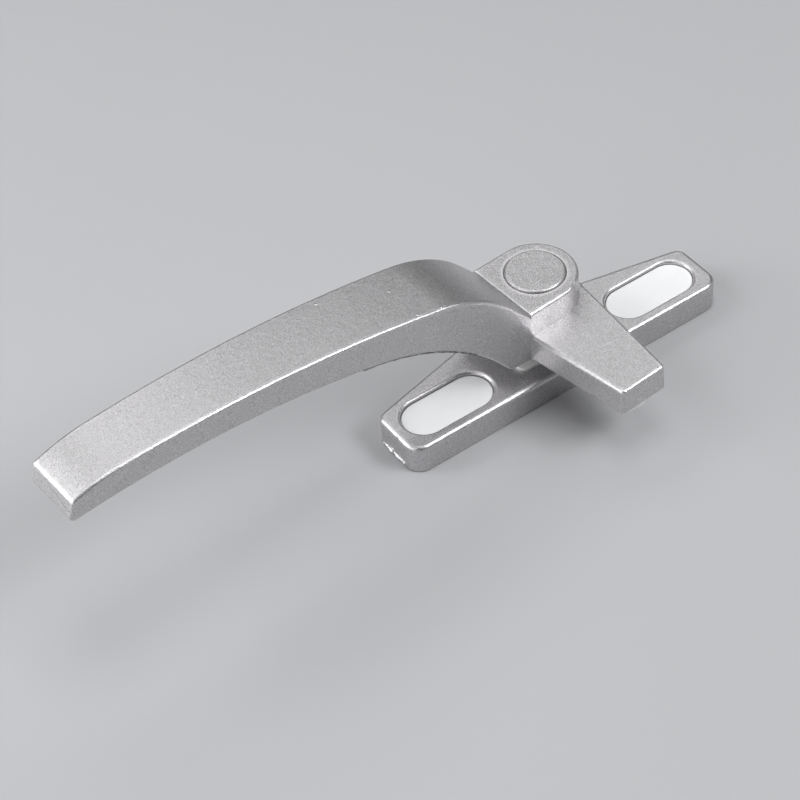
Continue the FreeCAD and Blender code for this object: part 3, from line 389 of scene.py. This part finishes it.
def threaded_steel(name, light, dark, foot, pitch):
    """Plated steel that carries a cut thread above a height."""
    finish = Finish(name)
    height = finish.split(finish.place, "Z")
    crest = finish.node(
        "ShaderNodeMath", {"operation": "SINE"}, {0: height * (2 * math.pi / pitch)}
    )
    thread = (crest * 0.5 + 0.5) * (height > foot)
    grain = finish.noise(0.15 * MM, 3.0, 0.6)
    body = finish.mix(thread * 0.5 + grain * 0.5, dark, light)
    relief = finish.bump(thread, 0.3 * MM)
    return finish.surface(
        Base_Color=body,
        Metallic=1.0,
        Roughness=0.32 + (grain - 0.5) * 0.14,
        Normal=finish.bump(grain, 0.006 * MM, 0.8, relief),
    )


STEEL_LIGHT = (0.66, 0.67, 0.69, 1)
STEEL_DARK = (0.50, 0.51, 0.53, 1)
SPRING_LIGHT = (0.36, 0.36, 0.38, 1)
SPRING_DARK = (0.20, 0.20, 0.22, 1)

THREAD_FOOT, THREAD_PITCH = 21.0 * MM, 0.8 * MM

white_plastic = smooth_white("white_cover_plastic")
white_nylon = nylon("white_nylon")
plated = turned_steel("plated_steel", STEEL_LIGHT, STEEL_DARK, 0.6 * MM)
hardened = turned_steel("hardened_spring_steel", SPRING_LIGHT, SPRING_DARK, 0.9 * MM)
threaded = threaded_steel("pin_steel", STEEL_LIGHT, STEEL_DARK, THREAD_FOOT, THREAD_PITCH)

finishes = {
    "base_plate": silver_paint("base_silver_paint", 0.58, (0.3, 0.1, 0.2)),
    "handle": silver_paint("handle_silver_paint", 0.595, (0.0, 0.0, 0.0), 1.0),
    "pivot_cap": silver_paint("cap_silver_paint", 0.595, (0.1, 0.4, 0.7), 1.0, 0.8, 0.6),
    "left_screw_cover": white_plastic,
    "right_screw_cover": white_plastic,
    "wear_washer": white_nylon,
    "tongue_pad": white_nylon,
    "pivot_bush": white_nylon,
    "pivot_pin": threaded,
    "back_washer": plated,
    "thrust_washer": plated,
    "lower_disc_spring": hardened,
    "upper_disc_spring": hardened,
    "lock_nut": plated,
    "detent_ball": hardened,
    "detent_spring": hardened,
    "stop_pin": plated,
}
for name, finish in finishes.items():
    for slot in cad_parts[name].material_slots:
        slot.material = finish


# Beads: the flash and seams that the casting dies leave, and the wound spring

BEAD_SIZES = {
    "Radius": "NodeSocketFloat",
    "Unevenness": "NodeSocketFloat",
    "Lumps per metre": "NodeSocketFloat",
    "Seed": "NodeSocketFloat",
    "Sides": "NodeSocketInt",
    "Finish": "NodeSocketMaterial",
}

# In radii of the bead: the step along the path, and how far it swells and sways where uneven
BEAD_STEP, BEAD_SWELL, BEAD_SWAY = 0.5, 4.0, 1.5

# Corners nearer to each other than this are one corner
SAME_PLACE = 1e-7


def bead_nodes():
    """Geometry nodes that turn a path into an uneven bead of metal."""
    tree = bpy.data.node_groups.new("casting_bead", "GeometryNodeTree")
    tree.interface.new_socket("Path", in_out="INPUT", socket_type="NodeSocketGeometry")
    for name, kind in BEAD_SIZES.items():
        tree.interface.new_socket(name, in_out="INPUT", socket_type=kind)
    tree.interface.new_socket("Bead", in_out="OUTPUT", socket_type="NodeSocketGeometry")
    build = Nodes(tree)
    entry = tree.nodes.new("NodeGroupInput")
    given = {socket.name: Value(build, socket) for socket in entry.outputs}

    noise = {"W": given["Seed"], "Scale": given["Lumps per metre"], "Detail": 2.0}
    lumps = build.node("ShaderNodeTexNoise", {"noise_dimensions": "4D"}, noise, "Fac")
    swirl = build.node("ShaderNodeTexNoise", {"noise_dimensions": "4D"}, noise, "Color")

    path = build.node("GeometryNodeMeshToCurve", {}, {"Mesh": given["Path"]})
    steps = {"Curve": path, "Length": given["Radius"] * BEAD_STEP}
    path = build.node("GeometryNodeResampleCurve", {"mode": "LENGTH"}, steps)
    ring = {"Resolution": given["Sides"], "Radius": given["Radius"]}
    ring = build.node("GeometryNodeCurvePrimitiveCircle", {"mode": "RADIUS"}, ring)
    swell = (lumps - 0.5) * given["Unevenness"] * BEAD_SWELL + 1.0
    bead = {"Curve": path, "Profile Curve": ring, "Scale": swell, "Fill Caps": True}
    bead = build.node("GeometryNodeCurveToMesh", {}, bead)

    centred = {0: swirl, 1: (0.5, 0.5, 0.5)}
    centred = build.node("ShaderNodeVectorMath", {"operation": "SUBTRACT"}, centred)
    sway = {0: centred, "Scale": given["Radius"] * given["Unevenness"] * BEAD_SWAY}
    sway = build.node("ShaderNodeVectorMath", {"operation": "SCALE"}, sway)
    bead = build.node("GeometryNodeSetPosition", {}, {"Geometry": bead, "Offset": sway})
    bead = build.node("GeometryNodeRealizeInstances", {}, {"Geometry": bead})
    finished = {"Geometry": bead, "Material": given["Finish"]}
    bead = build.node("GeometryNodeSetMaterial", {}, finished)
    leave = tree.nodes.new("NodeGroupOutput")
    tree.links.new(bead.socket, leave.inputs["Bead"])
    return tree


def lay_bead(name, body, path, sizes):
    """Runs a bead along a path and makes it a plain piece that rides on a body."""
    line = bpy.data.meshes.new(name + "_path")
    line.from_pydata(path, [(i, i + 1) for i in range(len(path) - 1)], [])
    carrier = bpy.data.objects.new(name + "_path", line)
    bpy.context.scene.collection.objects.link(carrier)
    modifier = carrier.modifiers.new("bead", "NODES")
    modifier.node_group = casting_bead
    for item in casting_bead.interface.items_tree:
        if item.name in sizes:
            modifier[item.identifier] = sizes[item.name]
    shown = bpy.context.evaluated_depsgraph_get()
    mesh = bpy.data.meshes.new_from_object(carrier.evaluated_get(shown))
    bpy.data.objects.remove(carrier)
    form = bmesh.new()
    form.from_mesh(mesh)
    bmesh.ops.remove_doubles(form, verts=form.verts, dist=SAME_PLACE)
    bmesh.ops.recalc_face_normals(form, faces=form.faces)
    form.to_mesh(mesh)
    form.free()
    mesh.shade_smooth()
    piece = bpy.data.objects.new(name, mesh)
    bpy.context.scene.collection.objects.link(piece)
    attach(piece, body)
    return piece


# How the handle stands in the photograph: its turn about the pivot, and in millimetres the
# height of its own zero plane above the mounting face
HANDLE_TURN = math.radians(3.6)
HANDLE_FOOT = 9.35

# The detent spring's wire, in millimetres
WIRE_RADIUS = 0.2

# How far the lower seam's middle line lies inside the lever's side and underside
SEAM_INSET = 0.25 * MM

# Where the rays that find that edge start: off the lever's middle, well in front of its side,
# and above its underside
OFF_MIDDLE, IN_FRONT, ABOVE_UNDERSIDE = 5 * MM, 90 * MM, 3 * MM


def on_lever(x, y, z):
    """A place in the handle's own frame, in millimetres, as it stands in the photograph."""
    cosine, sine = math.cos(HANDLE_TURN), math.sin(HANDLE_TURN)
    return Vector((x * cosine - y * sine, x * sine + y * cosine, z + HANDLE_FOOT)) * MM


def lower_edge(first, last, count):
    """Places along the lever's lower edge on the tongue's side, from one X to another."""
    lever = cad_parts["handle"]
    places = []
    for i in range(count):
        x = (first + (last - first) * i / (count - 1)) * MM
        centre = x * math.tan(HANDLE_TURN)
        _, under, _, _ = lever.ray_cast((x, centre - OFF_MIDDLE, 0.0), (0, 0, 1))
        _, side, _, _ = lever.ray_cast((x, -IN_FRONT, under.z + ABOVE_UNDERSIDE), (0, 1, 0))
        places.append(Vector((x, side.y + SEAM_INSET, under.z + SEAM_INSET)))
    return places


def coil_path(middle, radius, low, high, turns):
    """The middle line of a coil spring whose end turns are closed, from millimetres."""
    steps_per_turn = 32
    closed_pitch = WIRE_RADIUS * 2.1
    open_pitch = (high - low - closed_pitch * 2) / (turns - 2)
    places = []
    for i in range(turns * steps_per_turn + 1):
        turn = i / steps_per_turn
        rise = closed_pitch * min(turn, 1) + closed_pitch * max(turn - (turns - 1), 0)
        rise += open_pitch * min(max(turn - 1, 0), turns - 2)
        angle = 2 * math.pi * turn
        x, y = radius * math.cos(angle), radius * math.sin(angle)
        places.append(Vector((middle + x, y, low + rise)) * MM)
    return places


casting_bead = bead_nodes()
# Dark silver for the tip seam and the lever's edge flash: painted shade, a dark line that stands
# in for the shade of a crease, with no rubbed edges
seam_shade_paint = silver_paint("seam_painted_shade", 0.26, (0.5, 0.6, 0.9), 1.0, 0.0)

broken_end = [Vector((-49.05, y, 0.88)) * MM for y in (-1.2, -4.0, -7.0, -10.4)]
lay_bead(
    "base_end_flash",
    "base",
    broken_end,
    {
        "Radius": 0.45 * MM,
        "Unevenness": 1.0,
        "Lumps per metre": 650.0,
        "Seed": 3.0,
        "Sides": 10,
        "Finish": broken_zinc("bare_zinc"),
    },
)

tip_crease = [
    on_lever(-138.42, 0.8, 44.55),
    on_lever(-138.56, -2.5, 44.10),
    on_lever(-138.72, -5.0, 43.60),
    on_lever(-138.88, -7.3, 43.00),
]
lay_bead(
    "tip_seam",
    "lever",
    tip_crease,
    {
        "Radius": 0.35 * MM,
        "Unevenness": 0.25,
        "Lumps per metre": 350.0,
        "Seed": 7.0,
        "Sides": 12,
        "Finish": seam_shade_paint,
    },
)

lay_bead(
    "lever_edge_flash",
    "lever",
    lower_edge(-27.0, -60.0, 24),
    {
        "Radius": 0.17 * MM,
        "Unevenness": 0.9,
        "Lumps per metre": 800.0,
        "Seed": 5.0,
        "Sides": 8,
        "Finish": seam_shade_paint,
    },
)

wound = lay_bead(
    "wound_detent_spring",
    "base",
    coil_path(middle=6.75, radius=1.05, low=3.43, high=7.1, turns=4),
    {
        "Radius": WIRE_RADIUS * MM,
        "Unevenness": 0.0,
        "Lumps per metre": 1.0,
        "Seed": 0.0,
        "Sides": 12,
        "Finish": hardened,
    },
)
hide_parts("detent_spring")
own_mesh(wound)


# Camera, at the photograph's viewing angle: degrees and millimetres

CAMERA_TURN, CAMERA_RISE, CAMERA_ROLL = -31.66, 46.44, -5.01
CAMERA_AIM = (-41.82, 1.44, 9.33)
CAMERA_DISTANCE = 550.3
CAMERA_LENS, CAMERA_SENSOR = 99.11, 36.0


def place_camera():
    """A long lens above and in front of the lever's side."""
    angles = (CAMERA_TURN, CAMERA_RISE, CAMERA_ROLL)
    turned, raised, rolled = (math.radians(angle) for angle in angles)
    outwards = (math.sin(turned), -math.cos(turned))
    back = Vector((*(side * math.cos(raised) for side in outwards), math.sin(raised)))
    level = Vector((math.cos(turned), math.sin(turned), 0))
    upright = back.cross(level)
    right = level * math.cos(rolled) + upright * math.sin(rolled)
    up = upright * math.cos(rolled) - level * math.sin(rolled)
    turn = Matrix((right, up, back)).transposed().to_4x4()
    place = Vector(CAMERA_AIM) * MM + back * CAMERA_DISTANCE * MM
    lens = bpy.data.cameras.new("camera")
    lens.sensor_width = CAMERA_SENSOR
    lens.lens = CAMERA_LENS
    lens.clip_start = 0.02
    camera = bpy.data.objects.new("camera", lens)
    camera.matrix_world = Matrix.Translation(place) @ turn
    bpy.context.scene.collection.objects.link(camera)
    bpy.context.scene.camera = camera


# Studio: soft boxes by name, with place, width and height in metres, and watts

SOFT_BOXES = {
    "top_box": ((0.00, 0.00, 0.90), (0.40, 0.40), 1.9),
    "right_box": ((0.45, -0.40, 0.70), (0.40, 0.40), 2.1),
    "front_right_box": ((0.42, -0.60, 0.75), (0.40, 0.40), 3.7),
    "back_box": ((0.05, 0.60, 0.70), (0.40, 0.40), 0.9),
    "far_left_box": ((-0.50, 0.45, 0.70), (0.40, 0.40), 1.1),
    "far_right_box": ((0.50, 0.45, 0.70), (0.40, 0.40), 0.7),
    "left_box": ((-0.75, 0.05, 0.42), (0.90, 0.75), 4.3),
    "low_left_box": ((-0.65, 0.45, 0.24), (0.40, 0.30), 1.7),
    "tip_box": ((-0.28, 0.28, 0.42), (0.20, 0.20), 0.08),
}
LAMP_AIM = (-0.03, 0.0, 0.02)
AIR_COLOUR, AIR_LIGHT = (0.85, 0.86, 0.88, 1), 0.02

FLOOR_RADIUS = 8.0
FLOOR_DROP = 0.0002
PAPER_DARK, PAPER_LIGHT = (0.445, 0.45, 0.465, 1), (0.465, 0.47, 0.485, 1)
BACKDROP = (0.52, 0.525, 0.54, 1)
FADE_FROM, FADE_TO, FADE_SPAN = 0.34, 0.84, 2.0


def light_studio():
    """Hangs the soft boxes about the handle and fills the air with a little light."""
    for name, (place, size, watts) in SOFT_BOXES.items():
        lamp = bpy.data.lights.new(name, "AREA")
        lamp.shape = "RECTANGLE"
        lamp.size, lamp.size_y = size
        lamp.energy = watts
        box = bpy.data.objects.new(name, lamp)
        box.location = place
        aim = Vector(LAMP_AIM) - Vector(place)
        box.rotation_euler = aim.to_track_quat("-Z", "Y").to_euler()
        bpy.context.scene.collection.objects.link(box)
    world = bpy.data.worlds.new("studio")
    world.use_nodes = True
    background = world.node_tree.nodes["Background"]
    background.inputs["Color"].default_value = AIR_COLOUR
    background.inputs["Strength"].default_value = AIR_LIGHT
    bpy.context.scene.world = world


def floor_paper():
    """Plain grey paper that keeps its tone far away, where the lamps no longer reach."""
    finish = Finish("floor_paper")
    body = finish.mix(finish.noise(0.15), PAPER_DARK, PAPER_LIGHT)
    paper = {"Base Color": body, "Roughness": 0.75}
    paper = finish.node("ShaderNodeBsdfPrincipled", {}, paper)
    distance = finish.node("ShaderNodeVectorMath", {"operation": "LENGTH"}, {0: finish.place}, 1)
    stops = [(FADE_FROM / FADE_SPAN, 0.0), (FADE_TO / FADE_SPAN, 1.0)]
    far = finish.ramp(distance * (1 / FADE_SPAN), stops)
    rays = finish.node("ShaderNodeLightPath", {}, {}, "Is Camera Ray")
    for kind in ("Is Glossy Ray", "Is Transmission Ray"):
        rays = rays + finish.node("ShaderNodeLightPath", {}, {}, kind)
    backdrop = finish.node("ShaderNodeEmission", {}, {"Color": BACKDROP})
    both = finish.node("ShaderNodeMixShader", {}, {0: far * rays, 1: paper, 2: backdrop})
    finish.node("ShaderNodeOutputMaterial", {}, {"Surface": both})
    return finish.material


def lay_floor():
    """A wide round floor, just under the mounting face."""
    form = bmesh.new()
    bmesh.ops.create_circle(form, cap_ends=True, segments=96, radius=FLOOR_RADIUS)
    bmesh.ops.translate(form, verts=form.verts, vec=(0, 0, -FLOOR_DROP))
    mesh = bpy.data.meshes.new("floor")
    form.to_mesh(mesh)
    form.free()
    mesh.materials.append(floor_paper())
    floor = bpy.data.objects.new("floor", mesh)
    bpy.context.scene.collection.objects.link(floor)


place_camera()
light_studio()
lay_floor()

bpy.context.scene.view_settings.view_transform = "Standard"
